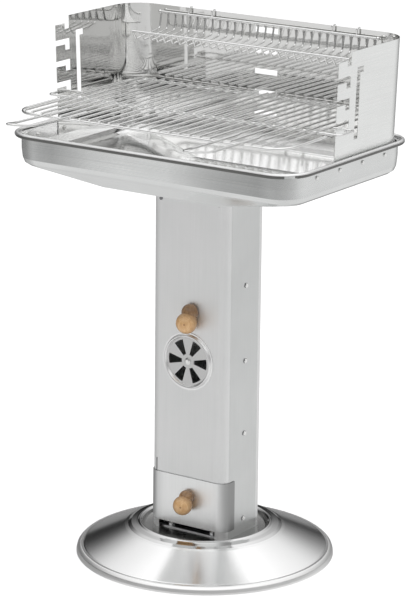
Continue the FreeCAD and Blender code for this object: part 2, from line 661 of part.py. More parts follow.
def knob(name, kind, kx, kz):
    """Wooden knob: a round foot with a flat back against the sheet, and the ball
    set forwards and down on it; a blind bore from the back takes the steel."""
    def prim(sort, tag, place, **sizes):
        o = doc.addObject("Part::" + sort, name + "_" + tag)
        for key, q in sizes.items():
            q = Q.of(q)
            setattr(o, key, q.v)
            if q.t:
                o.setExpression(key, q.t)
        base, turn = place
        base = [Q.of(c) for c in base]
        o.Placement = Placement(Vector(*[c.v for c in base]), turn)
        for c, ax in zip(base, "xyz"):
            if c.t:
                o.setExpression("Placement.Base." + ax, c.t)
        return o

    fy = S(kind + "_foot_y")
    still = Rotation()
    foot = prim("Sphere", "foot", ((kx, fy, kz), still), Radius=S(kind + "_foot"))
    ball = prim("Sphere", "ball", ((kx, fy - S(kind + "_reach"), kz - S(kind + "_drop")), still), Radius=S(kind + "_ball"))
    both = doc.addObject("Part::MultiFuse", name + "_turned")
    both.Shapes = [foot, ball]
    both.Refine = True
    back = prim("Box", "back", ((kx - 40.0, S(kind + "_back"), kz - 60.0), still), Length=80.0, Width=40.0, Height=100.0)
    bore = prim("Cylinder", "bore", ((kx, fy - S("knob_in"), kz), Rotation(Vector(1, 0, 0), -90)), Radius=S("knob_bore"), Height=40.0)
    tool = doc.addObject("Part::MultiFuse", name + "_tool")
    tool.Shapes = [back, bore]
    o = doc.addObject("Part::Cut", name)
    o.Base = both
    o.Tool = tool
    o.Label = name
    FEATS.append(o)
    doc.recompute()
    return o


knob("flap_knob", "upper", S("flap_x"), S("flap_height"))
knob("drawer_knob", "lower", S("stud_x"), S("stud_height"))

# straight steel rod through the column into the foot of the upper knob
y_in = V["upper_foot_y"] - V["knob_in"]
rod = cyl((fx, 62.0, fz), (0, -1, 0), rr, 62.0 - y_in)
for yy in (-30.0, 30.0):
    rod = rod.cut(Part.makeCylinder(1.55, 8.0, Vector(fx, yy, fz - 1.6), Vector(0, 0, 1)))
feature("flap_rod", rod)
ring = Part.makeCylinder(6.0, 1.0, Vector(fx, 58.6, fz), Vector(0, 1, 0)).cut(
    Part.makeCylinder(rr, 2.0, Vector(fx, 58.2, fz), Vector(0, 1, 0)))
ring = ring.cut(Part.makeBox(2.4, 3.0, 8.0, Vector(fx - 1.2, 57.5, fz - 8.5)))
feature("flap_clip", ring)
b = body("flap_plate")
s = sketch(b, "flap_outline", "XY_Plane", S("flap_height") + S("flap_rod"))
fh, fd, fxx = S("flap_half"), S("flap_depth") / 2, S("flap_x")
rounded(s, [(fxx - fh, -fd), (fxx + fh, -fd), (fxx + fh, fd), (fxx - fh, fd)], [6.0, 6.0, 6.0, 6.0])
for yy in (-30.0, 30.0):
    circle(s, fxx, yy, 1.6)
pad(b, s, "flap_pad", S("flap_sheet"))
doc.recompute()
scr = []
for yy in (-30.0, 30.0):
    zt = fz + rr + V["flap_sheet"]
    scr.append(fuse([cyl((fx, yy, zt), (0, 0, 1), 3.4, 1.6), cyl((fx, yy, fz - 1.5), (0, 0, 1), 1.5, zt - fz + 1.5)]))
feature("flap_screws", Part.makeCompound(scr))
bo, bf, run = V["bush_outer"], V["bush_flange"], V["rod_run"]
hd_ = V["col_depth"] / 2
for name, y0, d in (("flap_bush_front", -hd_, 1), ("flap_bush_rear", hd_, -1)):
    sh = fuse([cyl((fx, y0, fz), (0, -d, 0), bf, 2.0), cyl((fx, y0, fz), (0, d, 0), bo, 5.0)])
    sh = sh.cut(Part.makeCylinder(rr + run, 20.0, Vector(fx, y0 - 10.0, fz), Vector(0, 1, 0)))
    feature(name, sh)

# ------------------------------------------------------------------ ash drawer
b = body("drawer_front_cover")
s = sketch(b, "cover_outline", "XY_Plane", S("cover_low"))
cg, cs = S("cover_gap"), S("cover_sheet")
ox, oy, by_ = hw + cg + cs, -(hd + 1.0 + cs), S("cover_back")
rounded(s, [(-ox, by_), (-ox, oy), (ox, oy), (ox, by_), (ox - cs, by_), (ox - cs, oy + cs), (cs - ox, oy + cs), (cs - ox, by_)],
        [0, cr + 1.5, cr + 1.5, 0, 0, cr + 0.5, cr + 0.5, 0])
pad(b, s, "cover_pad", S("cover_high") - S("cover_low"))
doc.recompute()
s = sketch(b, "cover_hole", "XZ_Plane", Q(40.0))
circle(s, S("stud_x"), S("stud_height"), S("flap_rod") + 0.05)
f = pocket(b, s, "cover_hole_cut", 30.0)
cut_checked(b, f)

b = body("ash_pan")
s = sketch(b, "pan_outline", "XY_Plane", S("pan_floor"))
ph, pb, ps = S("pan_half"), S("pan_back"), S("pan_sheet")
rounded(s, [(-ph, -57.0), (ph, -57.0), (ph, pb), (-ph, pb)], [3.0, 3.0, 3.0, 3.0])
pad(b, s, "pan_pad", S("pan_top") - S("pan_floor"))
doc.recompute()
s = sketch(b, "pan_inside", "XY_Plane", S("pan_top"))
rounded(s, [(ps - ph, ps - 57.0), (ph - ps, ps - 57.0), (ph - ps, pb - ps), (ps - ph, pb - ps)], [2.0, 2.0, 2.0, 2.0])
f = pocket(b, s, "pan_inside_cut", S("pan_top") - S("pan_floor") - ps)
cut_checked(b, f)
s = sketch(b, "pan_hole", "XZ_Plane", Q(50.0))
circle(s, S("stud_x"), S("stud_height"), S("flap_rod") + 0.05)
f = pocket(b, s, "pan_hole_cut", 10.0)
cut_checked(b, f)
sx, sz_ = V["stud_x"], V["stud_height"]
feature("drawer_knob_stud", fuse([cyl((sx, -54.5, sz_), (0, -1, 0), rr, V["knob_in"] - 54.5 - V["lower_foot_y"]),
                                  cyl((sx, -56.0, sz_), (0, 1, 0), 6.0, 2.0)]))

# ------------------------------------------------------------------ fire tray
tx, ty, tz, ts = V["tray_half_x"], V["tray_half_y"], V["tray_wall_top"], V["tray_sheet"]
OUTER = [(tx, ty, 44.0, tz), (tx, ty, 44.0, 700.0), (tx - 1.4, ty - 1.8, 43.0, 684.0), (tx - 4.4, ty - 4.8, 41.0, 676.0),
         (tx - 11.0, ty - 11.0, 38.0, V["hopper_top"]), (V["panel_half_x"], V["panel_half_y"], 12.0, V["panel_height"]),
         (90.6, 70.6, 8.0, V["tray_floor"])]
INNER = [(tx - ts, ty - ts, 44.0 - ts, tz + 3.0), (tx - ts, ty - ts, 44.0 - ts, 700.0), (tx - 1.4 - ts, ty - 1.8 - ts, 41.8, 684.2),
         (tx - 4.6 - ts, ty - 5.0 - ts, 39.8, 676.6), (tx - 11.4, ty - 11.4, 37.4, V["hopper_top"] + 1.35),
         (V["panel_half_x"] - 0.2, V["panel_half_y"] - 0.2, 11.8, V["panel_height"] + 1.25), (90.5, 70.5, 7.9, V["tray_floor"] + ts)]
outer = Part.makeLoft([rrect(*q) for q in OUTER], True, True)
inner = Part.makeLoft([rrect(*q) for q in INNER], True, True)
shell = outer.cut(inner)
throat = Part.Face(rrect(V["throat_half_x"], V["throat_half_y"], 6.0, V["tray_floor"] - 5.0)).extrude(Vector(0, 0, 12.0))
shell = shell.cut(throat)
fl_o = Part.Face(rrect(V["rim_half_x"], V["rim_half_y"], V["rim_corner"], tz - ts)).extrude(Vector(0, 0, ts))
fl_i = Part.Face(rrect(tx - ts, ty - ts, 44.0 - ts, tz - ts - 1)).extrude(Vector(0, 0, ts + 2))
flange = fl_o.cut(fl_i)
rimw = rrect(V["rim_half_x"], V["rim_half_y"], V["rim_corner"], V["rim_height"])
bead = rimw.makePipeShell([section(rimw, V["rim_bead"])], True, True)
tray = shell.fuse(flange).fuse(bead).removeSplitter()
zs = V["wall_screw_z"]
pitch = V["wall_screw_pitch"]
WALL_Y = [-1.5 * pitch + 0.5, -0.5 * pitch, 0.5 * pitch, 1.5 * pitch]
for yy in WALL_Y:
    tray = tray.cut(cyl((-tx - 5, yy, zs), (1, 0, 0), 2.1, 2 * tx + 10))
for x in (-83.0, 83.0):
    for y in (-46.0, 46.0):
        tray = tray.cut(cyl((x, y, V["tray_floor"] - 2), (0, 0, 1), 2.6, 6.0))
feature("tray", tray)

# ------------------------------------------------------------------ windshield
b = body("windshield")
sk = []
for i, (nm, off, half) in enumerate((("shield_foot", S("shield_low"), S("shield_half")),
                                     ("shield_head", S("shield_top"), S("shield_half") + S("shield_flare")))):
    s = sketch(b, nm, "XY_Plane", off)
    sw, sb, sf, st, sc = half, S("shield_back"), S("shield_front"), S("shield_sheet"), S("shield_corner")
    rounded(s, [(-sw, sf), (st - sw, sf), (st - sw, sb - st), (sw - st, sb - st), (sw - st, sf), (sw, sf), (sw, sb), (-sw, sb)],
            [0, 0, sc - st, sc - st, 0, 0, sc, sc])
    sk.append(s)
f = b.newObject("PartDesign::AdditiveLoft", "shield_loft")
f.Profile = sk[0]
f.Sections = [sk[1]]
f.Ruled = True
doc.recompute()
s = sketch(b, "shield_hooks", "YZ_Plane")
ye, yn, y0 = S("shield_edge"), S("shield_edge") - S("notch_width"), Q(-53.0)
for k in range(4):
    tp = S("hook_one") - S("hook_pitch") * k
    hi = Q(902.0) if k == 0 else tp + S("hook_gap")
    nb = tp - S("notch_depth")
    poly(s, [(y0, hi), (ye, hi), (ye, nb), (yn, nb), (yn, tp), (y0, tp)])
poly(s, [(S("side_slot_front"), S("side_slot_low")), (S("side_slot_back"), S("side_slot_low")),
         (S("side_slot_back"), S("side_slot_high") - 10.0), (S("side_slot_jog"), S("side_slot_high") - 10.0),
         (S("side_slot_jog"), S("side_slot_high")), (S("side_slot_front"), S("side_slot_high"))])
for yy in WALL_Y[1:]:
    circle(s, yy, S("wall_screw_z"), 2.1)
f = pocket(b, s, "shield_hook_cut", None)
f.Midplane = True
cut_checked(b, f)
s = sketch(b, "shield_slots", "XZ_Plane", Q(-120.0))
for k in range(5):
    nb = S("hook_one") - S("hook_pitch") * k - S("notch_depth")
    sl, shh = S("slot_half"), S("slot_high") / 2
    poly(s, [(-sl, nb - shh), (sl, nb - shh), (sl, nb + shh), (-sl, nb + shh)])
f = pocket(b, s, "shield_slot_cut", 80.0)
cut_checked(b, f)

# ------------------------------------------------------------------ cooking grate
# Frame, cross bars and long wires are one welded grid; the two handles, the
# side lugs and the rear tongue are bent wires welded to it.
gh, gf, gb, gz = V["grate_half"], V["grate_front"], V["grate_back"], V["grate_height"]
wr, br = V["grate_bar"], V["grate_wire"]
zt = gz + wr + br - 0.3
gc = V["grate_corner"]


def hang(shape):
    """The grate hangs slightly turned and off centre in its notches."""
    shape.rotate(Vector(0, 0, 0), Vector(0, 0, 1), V["grate_turn"])
    shape.translate(Vector(V["grate_shift"], 0, 0))
    return shape


framew = rrect(gh, 0, gc, gz, gf, gb)
rim_rod = framew.makePipeShell([section(framew, br)], True, True)
parts_ = [rim_rod]
n = int(V["grate_count"])
step = 2 * gh / n
for k in range(1, n):
    x = -gh + step * k
    dx = gh - abs(x)
    trim = 0.0 if dx >= gc else gc - math.sqrt(gc * gc - (gc - dx) ** 2)
    parts_.append(cyl((x, gf + trim - 1.6, zt), (0, 1, 0), wr, gb - gf - 2 * trim + 3.2))
parts_.append(cyl((-gh, V["grate_mid"], gz), (1, 0, 0), br, 2 * gh))
lf, lb, lt = V["lug_front"], V["lug_back"], V["lug_tip"]
zl = gz + br + wr                                  # bent wires lie on top of the frame rod
grid = fuse(parts_)
for nm, sg in (("left", -1), ("right", 1)):
    lug = wire_rod([(sg * (gh - 14.0), lb, zl), (sg * lt, lb, zl), (sg * lt, lf, zl), (sg * (gh - 14.0), lf, zl)], wr, 6.0)
    feature("grate_lug_" + nm, hang(lug))
    hx = sg * V["handle_x"]
    off = math.sqrt((2 * wr) ** 2 - (zl - zt) ** 2) + 0.02
    kk = round((abs(hx) - step + gh) / step)       # the legs lie beside two wires, two pitches apart
    xa = sg * (-gh + step * kk + off)
    xb = sg * (-gh + step * (kk + 2) + off)
    yt, zh, hn, yb = V["handle_tip"], V["handle_rise"], V["handle_nose"], V["handle_taper"]
    feature("grate_handle_" + nm, hang(wire_rod(
        [(xa, -148.0, zl), (xa, gf - 9.0, zl), (xa, yb, zl + 1.5), (hx - sg * hn, yt, zh), (hx + sg * hn, yt, zh),
         (xb, yb, zl + 1.5), (xb, gf - 9.0, zl), (xb, -148.0, zl)], wr, [0, 30.0, 50.0, 6.6, 6.6, 50.0, 30.0, 0])))
tongue = wire_rod([(-18.0, gb - 14.0, zl), (-18.0, 187.0, zl), (18.0, 187.0, zl), (18.0, gb - 14.0, zl)], wr, 7.0)
feature("grate_tongue", hang(tongue))
feature("cooking_grate", hang(grid))

# ------------------------------------------------------------------ warming rack (one welded piece)
rh, rp, rw_, rbz = V["rack_half"], V["rack_pitch"], V["rack_wall"], V["rack_bar_z"]
wv, bv = V["rack_wire"], V["rack_bar"]
vy, vz, fy_, fz_ = V["rack_vertex_y"], V["rack_vertex_z"], V["rack_front_y"], V["rack_front_z"]
ox_ = 5.0
parts_ = [cyl((ox_ - rh - 1.5, rw_, rbz), (1, 0, 0), bv, 2 * rh + 3.0), cyl((ox_ - rh - 1.5, fy_, fz_), (1, 0, 0), bv, 2 * rh + 3.0)]
nn = int(round(2 * rh / rp))
for k in range(nn + 1):
    x = ox_ - rh + 2 * rh * k / nn
    parts_.append(wire_rod([(x, rw_, rbz), (x, rw_ - 6.0, 860.0), (x, vy, vz), (x, fy_, fz_)], wv, [0, 6.0, 5.0, 0]))
for sg in (-1, 1):
    parts_.append(Part.makeSphere(3.4, Vector(ox_ + sg * (rh + 3.0), rw_, rbz)))
zh_ = V["shield_top"] + wv + 0.1
for hx in (-155.0, -107.5, 132.5, 180.0):
    parts_.append(wire_rod([(hx, 165.5, rbz - 4.0), (hx, 165.5, zh_), (hx, 175.2, zh_), (hx, 175.2, 880.0)], wv, [0, 3.0, 3.0, 0]))
feature("warming_rack", fuse(parts_))

# ------------------------------------------------------------------ charcoal grate (one welded piece)
cx2, cy2, cz2, cw = V["coal_half_x"], V["coal_half_y"], V["coal_height"], V["coal_wire"]
fw = rrect(cx2, cy2, 14.0, cz2)
parts_ = [fw.makePipeShell([section(fw, cw)], True, True)]
nc = int(V["coal_count"])
for k in range(1, nc):
    x = -cx2 + 2 * cx2 * k / nc
    parts_.append(cyl((x, -cy2 - 1.0, cz2 + 3.8), (0, 1, 0), 2.0, 2 * cy2 + 2.0))
parts_.append(cyl((-cx2, 0.0, cz2), (1, 0, 0), 2.5, 2 * cx2))
feature("charcoal_grate", fuse(parts_))

# ------------------------------------------------------------------ screws, bolts and nuts
sy = V["side_screw_y"]
col_x = V["col_width"] / 2


def side_fixing(x0, y, z, sg, depth_nut, shank_to, rs=2.0, rh_=4.3):
    """Pan-head screw entering a side wall along X with its nut inside."""
    hd1 = cyl((sg * x0, y, z), (sg, 0, 0), rh_, 1.2)
    hd2 = Part.makeCone(rh_, rh_ - 1.1, 0.8, Vector(sg * (x0 + 1.2), y, z), Vector(sg, 0, 0))
    sk_ = cyl((sg * x0, y, z), (-sg, 0, 0), rs, x0 - shank_to)
    nut = Part.makeCylinder(3.6, 2.4, Vector(sg * depth_nut, y, z), Vector(-sg, 0, 0))
    return fuse([hd1, hd2, sk_, nut])


feature("column_side_screws", Part.makeCompound([side_fixing(col_x, sy, z, sg, col_x - 2.0, col_x - 5.6)
                                                 for z in (223.0, 350.0, 480.5) for sg in (-1, 1)]))
feature("foot_side_screws", Part.makeCompound([side_fixing(col_x, sy, 71.5, sg, V["runner_outer"] - 1.0, V["runner_outer"] - 4.6)
                                               for sg in (-1, 1)]))
group = []
for sg in (-1, 1):
    for x, y0, d, tab in ((56.5, -hd_, 1, V["col_sheet"] + 0.3 + V["collar_sheet"]), (50.0, hd_, -1, V["col_sheet"] + 0.15 + V["collar_sheet"])):
        group.append(fuse([cyl((sg * x, y0, 622.0), (0, -d, 0), 3.0, 1.4), cyl((sg * x, y0, 622.0), (0, d, 0), 1.6, tab + 3.2),
                           Part.makeCylinder(2.9, 2.2, Vector(sg * x, y0 + d * tab, 622.0), Vector(0, d, 0))]))
feature("column_top_screws", Part.makeCompound(group))
group = []
zf_, zc_ = V["tray_floor"], V["tray_floor"] - V["collar_sheet"]
for x in (-83.0, 83.0):
    for y in (-46.0, 46.0):
        group.append(fuse([cyl((x, y, zf_ + ts), (0, 0, 1), 4.2, 1.8), cyl((x, y, zf_ + ts), (0, 0, -1), 2.5, 10.0),
                           prism(x, y, zc_ - 3.2, 4.0, 3.2)]))
feature("collar_bolts", Part.makeCompound(group))
group = []
wf = V["well_floor"]
for x in (-42.0, 42.0):
    for y in (-38.0, 38.0):
        group.append(fuse([prism(x, y, wf - V["base_sheet"] - 3.2, 5.0, 3.2), cyl((x, y, wf - V["base_sheet"]), (0, 0, 1), 3.0, 12.0),
                           prism(x, y, wf + V["bracket_sheet"], 5.0, 4.2)]))
feature("foot_bolts", Part.makeCompound(group))
group = []
flare = V["shield_flare"] / (V["shield_top"] - V["shield_low"])
xin = V["shield_half"] + flare * (zs - V["shield_low"]) - V["shield_sheet"] - 0.16
for sg in (-1, 1):
    for i, yy in enumerate(WALL_Y):
        nut_at = tx - ts if i == 0 else xin
        group.append(side_fixing(tx, yy, zs, sg, nut_at, nut_at - 3.6, 2.0, 3.7))
feature("tray_wall_screws", Part.makeCompound(group))

# ------------------------------------------------------------------ checks and export
doc.recompute()
bad = []
for o in doc.Objects:
    if "Invalid" in o.State or "Error" in o.State:
        bad.append(o.Name)
for o in BODIES + FEATS:
    if o.Shape.isNull() or not o.Shape.isValid() or not o.Shape.Solids:
        bad.append("shape " + o.Name)
if bad:
    raise RuntimeError("bad objects: %s" % bad)
for o in BODIES + FEATS:
    o.Shape.exportStep("parts/%s.step" % o.Label)
    bb = o.Shape.BoundBox
    print("%-22s solids %2d  vol %9.0f  x %7.1f %7.1f  y %7.1f %7.1f  z %7.1f %7.1f" % (
        o.Label, len(o.Shape.Solids), o.Shape.Volume, bb.XMin, bb.XMax, bb.YMin, bb.YMax, bb.ZMin, bb.ZMax))
print("nodes", len(BODIES) + len(FEATS))
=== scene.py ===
import bpy
import bmesh
import math
from mathutils import Matrix, Vector


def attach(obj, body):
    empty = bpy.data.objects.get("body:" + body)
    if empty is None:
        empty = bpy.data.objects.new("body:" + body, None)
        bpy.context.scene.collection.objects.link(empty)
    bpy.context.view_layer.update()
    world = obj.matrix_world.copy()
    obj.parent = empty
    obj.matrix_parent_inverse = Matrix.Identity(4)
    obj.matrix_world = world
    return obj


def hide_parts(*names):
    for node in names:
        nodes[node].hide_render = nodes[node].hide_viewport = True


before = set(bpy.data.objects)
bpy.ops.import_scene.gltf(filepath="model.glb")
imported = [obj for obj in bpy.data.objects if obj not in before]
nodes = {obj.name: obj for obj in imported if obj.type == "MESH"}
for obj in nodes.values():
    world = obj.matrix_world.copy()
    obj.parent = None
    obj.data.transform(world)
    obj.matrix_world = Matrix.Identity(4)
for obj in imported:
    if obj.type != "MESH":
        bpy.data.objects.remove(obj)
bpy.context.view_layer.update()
scene = bpy.context.scene

# ------------------------------------------------------------------ camera
AZ, PITCH, ROLL = math.radians(33.819), math.radians(15.386), math.radians(-0.608)
fwd = Vector((-math.sin(AZ) * math.cos(PITCH), math.cos(AZ) * math.cos(PITCH), -math.sin(PITCH)))
right = Vector((math.cos(AZ), math.sin(AZ), 0.0))
down = fwd.cross(right)
r_row = right * math.cos(ROLL) + down * math.sin(ROLL)
d_row = -right * math.sin(ROLL) + down * math.cos(ROLL)
cam_data = bpy.data.cameras.new("camera")
cam_data.sensor_fit = "AUTO"
cam_data.sensor_width = 36.0
cam_data.lens = 2892.9 * 36.0 / 599.0
cam_data.clip_start = 0.05
cam_data.clip_end = 60.0
cam = bpy.data.objects.new("camera", cam_data)
scene.collection.objects.link(cam)
m = Matrix.Identity(4)
for i, col in enumerate((r_row, -d_row, -fwd)):
    for j in range(3):
        m[j][i] = col[j]
m.translation = Vector((2.600195, -3.887091, 1.731218))
cam.matrix_world = m
scene.camera = cam
scene.view_settings.view_transform = "Standard"
scene.view_settings.look = "None"
scene.view_settings.exposure = 0.0
scene.view_settings.gamma = 1.0


# ------------------------------------------------------------------ material helpers
class NT:
    """A small helper around a node tree."""

    def __init__(self, tree):
        self.t = tree
        self.n = tree.nodes
        self.l = tree.links

    def add(self, kind, **props):
        node = self.n.new(kind)
        for k, v in props.items():
            setattr(node, k, v)
        return node

    def link(self, a, b):
        self.l.new(a, b)

    def coords(self, scale=(1, 1, 1), rot=(0, 0, 0), loc=(0, 0, 0), which="Object"):
        tc = self.add("ShaderNodeTexCoord")
        mp = self.add("ShaderNodeMapping")
        mp.inputs["Scale"].default_value = scale
        mp.inputs["Rotation"].default_value = rot
        mp.inputs["Location"].default_value = loc
        self.link(tc.outputs[which], mp.inputs["Vector"])
        return mp.outputs["Vector"]

    def noise(self, vec, scale=1.0, detail=3.0, rough=0.5, distortion=0.0):
        nz = self.add("ShaderNodeTexNoise")
        nz.inputs["Scale"].default_value = scale
        nz.inputs["Detail"].default_value = detail
        nz.inputs["Roughness"].default_value = rough
        nz.inputs["Distortion"].default_value = distortion
        self.link(vec, nz.inputs["Vector"])
        return nz.outputs["Fac"]

    def ramp(self, fac, stops, interp="LINEAR"):
        cr = self.add("ShaderNodeValToRGB")
        cr.color_ramp.interpolation = interp
        el = cr.color_ramp.elements
        while len(el) > 1:
            el.remove(el[-1])
        el[0].position = stops[0][0]
        el[0].color = tuple(stops[0][1]) + (1.0,)
        for p, c in stops[1:]:
            e = el.new(p)
            e.color = tuple(c) + (1.0,)
        self.link(fac, cr.inputs["Fac"])
        return cr.outputs["Color"]

    def maprange(self, v, a, b, c, d):
        mr = self.add("ShaderNodeMapRange")
        mr.inputs["From Min"].default_value = a
        mr.inputs["From Max"].default_value = b
        mr.inputs["To Min"].default_value = c
        mr.inputs["To Max"].default_value = d
        self.link(v, mr.inputs["Value"])
        return mr.outputs["Result"]

    def math(self, op, a, b=None):
        mt = self.add("ShaderNodeMath", operation=op)
        for i, v in enumerate((a, b)):
            if v is None:
                continue
            if isinstance(v, (int, float)):
                mt.inputs[i].default_value = v
            else:
                self.link(v, mt.inputs[i])
        return mt.outputs[0]

    def mix(self, fac, a, b, blend="MIX"):
        mx = self.add("ShaderNodeMix", data_type="RGBA", blend_type=blend)
        for sock, v in ((mx.inputs[0], fac), (mx.inputs[6], a), (mx.inputs[7], b)):
            if isinstance(v, (int, float)):
                sock.default_value = v
            elif isinstance(v, tuple):
                sock.default_value = v + (1.0,) if len(v) == 3 else v
            else:
                self.link(v, sock)
        return mx.outputs[2]

    def bump(self, height, strength, distance, normal=None):
        bp = self.add("ShaderNodeBump")
        bp.inputs["Strength"].default_value = strength
        bp.inputs["Distance"].default_value = distance
        self.link(height, bp.inputs["Height"])
        if normal is not None:
            self.link(normal, bp.inputs["Normal"])
        return bp.outputs["Normal"]


def material(name):
    mt = bpy.data.materials.new(name)
    mt.use_nodes = True
    nt = NT(mt.node_tree)
    bsdf = mt.node_tree.nodes["Principled BSDF"]
    return mt, nt, bsdf


def steel(name, tone=(0.66, 0.66, 0.655), rough=(0.26, 0.34), brush=None, grain=0.0, aniso=0.0, turn=0.0, mottle=0.04, dents=0.0,
          dent_scale=3.5, streak=0.10, along=None):
    """Stainless sheet: fine brushing along one axis, faint mottling, optional slight waviness of the sheet.
    along = [(x, factor), ...] paints light and shade into the sheet's colour by multiplying it over the sheet's own
    width."""
    mt, nt, b = material(name)
    b.inputs["Metallic"].default_value = 1.0
    big = nt.noise(nt.coords((1, 1, 1)), 9.0, 3.0, 0.55)
    lo = tuple(c * (1 - mottle) for c in tone)
    hi = tuple(min(1.0, c * (1 + mottle)) for c in tone)
    col = nt.ramp(big, [(0.3, lo), (0.7, hi)])
    if brush is not None:
        fine = nt.noise(nt.coords(brush), 1.0, 4.0, 0.6)
        col = nt.mix(nt.maprange(fine, 0.3, 0.7, 0.0, streak), col, tuple(c * 0.72 for c in tone))
        nt.link(nt.maprange(fine, 0.25, 0.75, rough[0], rough[1]), b.inputs["Roughness"])
        if grain > 0:
            nt.link(nt.bump(fine, grain, 0.0002), b.inputs["Normal"])
    else:
        nt.link(nt.maprange(big, 0.25, 0.75, rough[0], rough[1]), b.inputs["Roughness"])
    if dents > 0:
        wavy = nt.noise(nt.coords((1, 1, 1)), dent_scale, 2.0, 0.4)
        prev = b.inputs["Normal"].links[0].from_socket if b.inputs["Normal"].links else None
        nt.link(nt.bump(wavy, dents, 0.02, prev), b.inputs["Normal"])
    # painted light and shade: a ramp over the object's X multiplies the sheet's colour
    if along is not None:
        ax = nt.add("ShaderNodeSeparateXYZ")
        nt.link(nt.coords((1, 1, 1)), ax.inputs[0])
        px = ax.outputs["X"]
        x0, x1 = along[0][0], along[-1][0]
        painted_shade_ramp = nt.ramp(nt.maprange(px, x0, x1, 0.0, 1.0), [((x - x0) / (x1 - x0), (f, f, f)) for x, f in along])
        col = nt.mix(1.0, col, painted_shade_ramp, "MULTIPLY")
    nt.link(col, b.inputs["Base Color"])
    if aniso > 0:
        b.inputs["Anisotropic"].default_value = aniso
        b.inputs["Anisotropic Rotation"].default_value = turn
        tg = nt.add("ShaderNodeTangent", direction_type="RADIAL", axis="Z")
        nt.link(tg.outputs["Tangent"], b.inputs["Tangent"])
    return mt


def wood(name, centre, axis, pale, size):
    """Turned beech under clear lacquer: rings around the turning axis, fine flecks, a darker dot at the centre of the
    rings, and painted shade that darkens the colour towards the ball's outline.
    """
    mt, nt, b = material(name)
    q = Vector(axis).normalized().rotation_difference(Vector((0, 0, 1)))
    e = q.to_euler("XYZ")
    shift = q @ (-Vector(centre))
    own = nt.coords((1, 1, 1), tuple(e), tuple(shift))
    warp = nt.noise(own, 55.0, 3.0, 0.55)
    sp = nt.add("ShaderNodeSeparateXYZ")
    nt.link(own, sp.inputs[0])
    rad = nt.math("SQRT", nt.math("ADD", nt.math("MULTIPLY", sp.outputs["X"], sp.outputs["X"]), nt.math("MULTIPLY", sp.outputs["Y"], sp.outputs["Y"])))
    phase = nt.math("ADD", nt.math("MULTIPLY", rad, 2300.0), nt.math("MULTIPLY", warp, 9.0))
    ring = nt.maprange(nt.math("SINE", phase), -1.0, 1.0, 0.0, 1.0)
    long_ = nt.noise(nt.coords((1.0, 1.0, 0.25), tuple(e), tuple(shift)), 260.0, 4.0, 0.6, 0.4)
    if pale:
        a1, a2, a3, centre_dot_colour = (0.52, 0.28, 0.115), (0.66, 0.41, 0.195), (0.78, 0.555, 0.31), (0.28, 0.13, 0.05)
    else:
        a1, a2, a3, centre_dot_colour = (0.19, 0.095, 0.038), (0.30, 0.165, 0.07), (0.42, 0.26, 0.13), (0.10, 0.05, 0.02)
    col = nt.ramp(long_, [(0.25, a1), (0.5, a2), (0.75, a3)])
    col = nt.mix(nt.math("MULTIPLY", ring, 0.30), col, a1)
    # painted shade: the colour darkens towards the ball's outline around the given axis
    col = nt.mix(nt.maprange(rad, 0.62 * size, 0.99 * size, 0.0, 0.62), col, tuple(0.55 * v for v in a1))
    # a darker dot at the centre of the rings
    col = nt.mix(nt.maprange(rad, 0.0010, 0.0022, 0.75, 0.0), col, centre_dot_colour)
    nt.link(col, b.inputs["Base Color"])
    nt.link(nt.maprange(long_, 0.3, 0.7, 0.36, 0.48), b.inputs["Roughness"])
    nt.link(nt.bump(long_, 0.10, 0.0002), b.inputs["Normal"])
    b.inputs["Coat Weight"].default_value = 0.6 if pale else 0.9
    b.inputs["Coat Roughness"].default_value = 0.10
    b.inputs["Specular IOR Level"].default_value = 0.4
    return mt


M = {}
M["column"] = steel("column_satin", (0.99, 1.0, 0.995), (0.50, 0.58), brush=(700, 700, 9), grain=0.05, aniso=0.5, dents=0.03)
# painted shade: the column's side faces get a darker copy of the column steel
M["column_side"] = steel("column_satin_sides_painted_shade", (0.71, 0.72, 0.715), (0.30, 0.38), brush=(700, 700, 9), grain=0.05, dents=0.03)
# painted shade: the cover's colour darkens towards both bent sides
M["cover"] = steel("cover_satin", (0.99, 1.0, 0.995), (0.34, 0.42), brush=(700, 700, 9), grain=0.04, aniso=0.6, dents=0.05,
                   along=[(-0.078, 0.36), (-0.068, 0.58), (-0.058, 0.82), (-0.048, 0.96), (-0.038, 1.0), (0.052, 1.0), (0.062, 0.94), (0.069, 0.68), (0.074, 0.46), (0.078, 0.36)])
# painted light and shade: the tray's colour is darkened in two bands either side of the middle, with a touch of painted
# light at the right end
TRAY_PAINTED_LIGHT_AND_SHADE = [(-0.272, 0.92), (-0.245, 0.80), (-0.215, 0.62), (-0.190, 0.57), (-0.150, 0.74), (-0.110, 0.90), (-0.050, 1.0), (0.040, 0.98), (0.095, 0.76), (0.150, 0.60), (0.212, 0.52), (0.245, 0.66), (0.268, 0.84), (0.275, 1.02)]
M["tray"] = steel("tray_satin", (0.80, 0.81, 0.805), (0.24, 0.32), brush=(7, 260, 900), grain=0.04, dents=0.06, streak=0.14, along=TRAY_PAINTED_LIGHT_AND_SHADE)
M["tray_under"] = steel("tray_underside", (0.86, 0.87, 0.865), (0.12, 0.18), brush=(7, 260, 900), grain=0.02, dents=0.06, streak=0.10)
M["tray_in"] = steel("tray_bright_inside", (1.0, 1.0, 0.995), (0.09, 0.13), brush=(260, 7, 900), grain=0.01, dents=0.03, streak=0.05)
M["tray_shelf"] = steel("tray_shelf", (0.76, 0.76, 0.755), (0.14, 0.20), brush=(260, 7, 900), grain=0.01, dents=0.03, streak=0.05)
# painted light: the top half of the rim roll gets a brighter copy of the tray steel
M["rim_top"] = steel("rim_bright_roll_top_painted_light", (0.97, 0.97, 0.965), (0.34, 0.42), brush=(40, 40, 900), grain=0.01, streak=0.05)
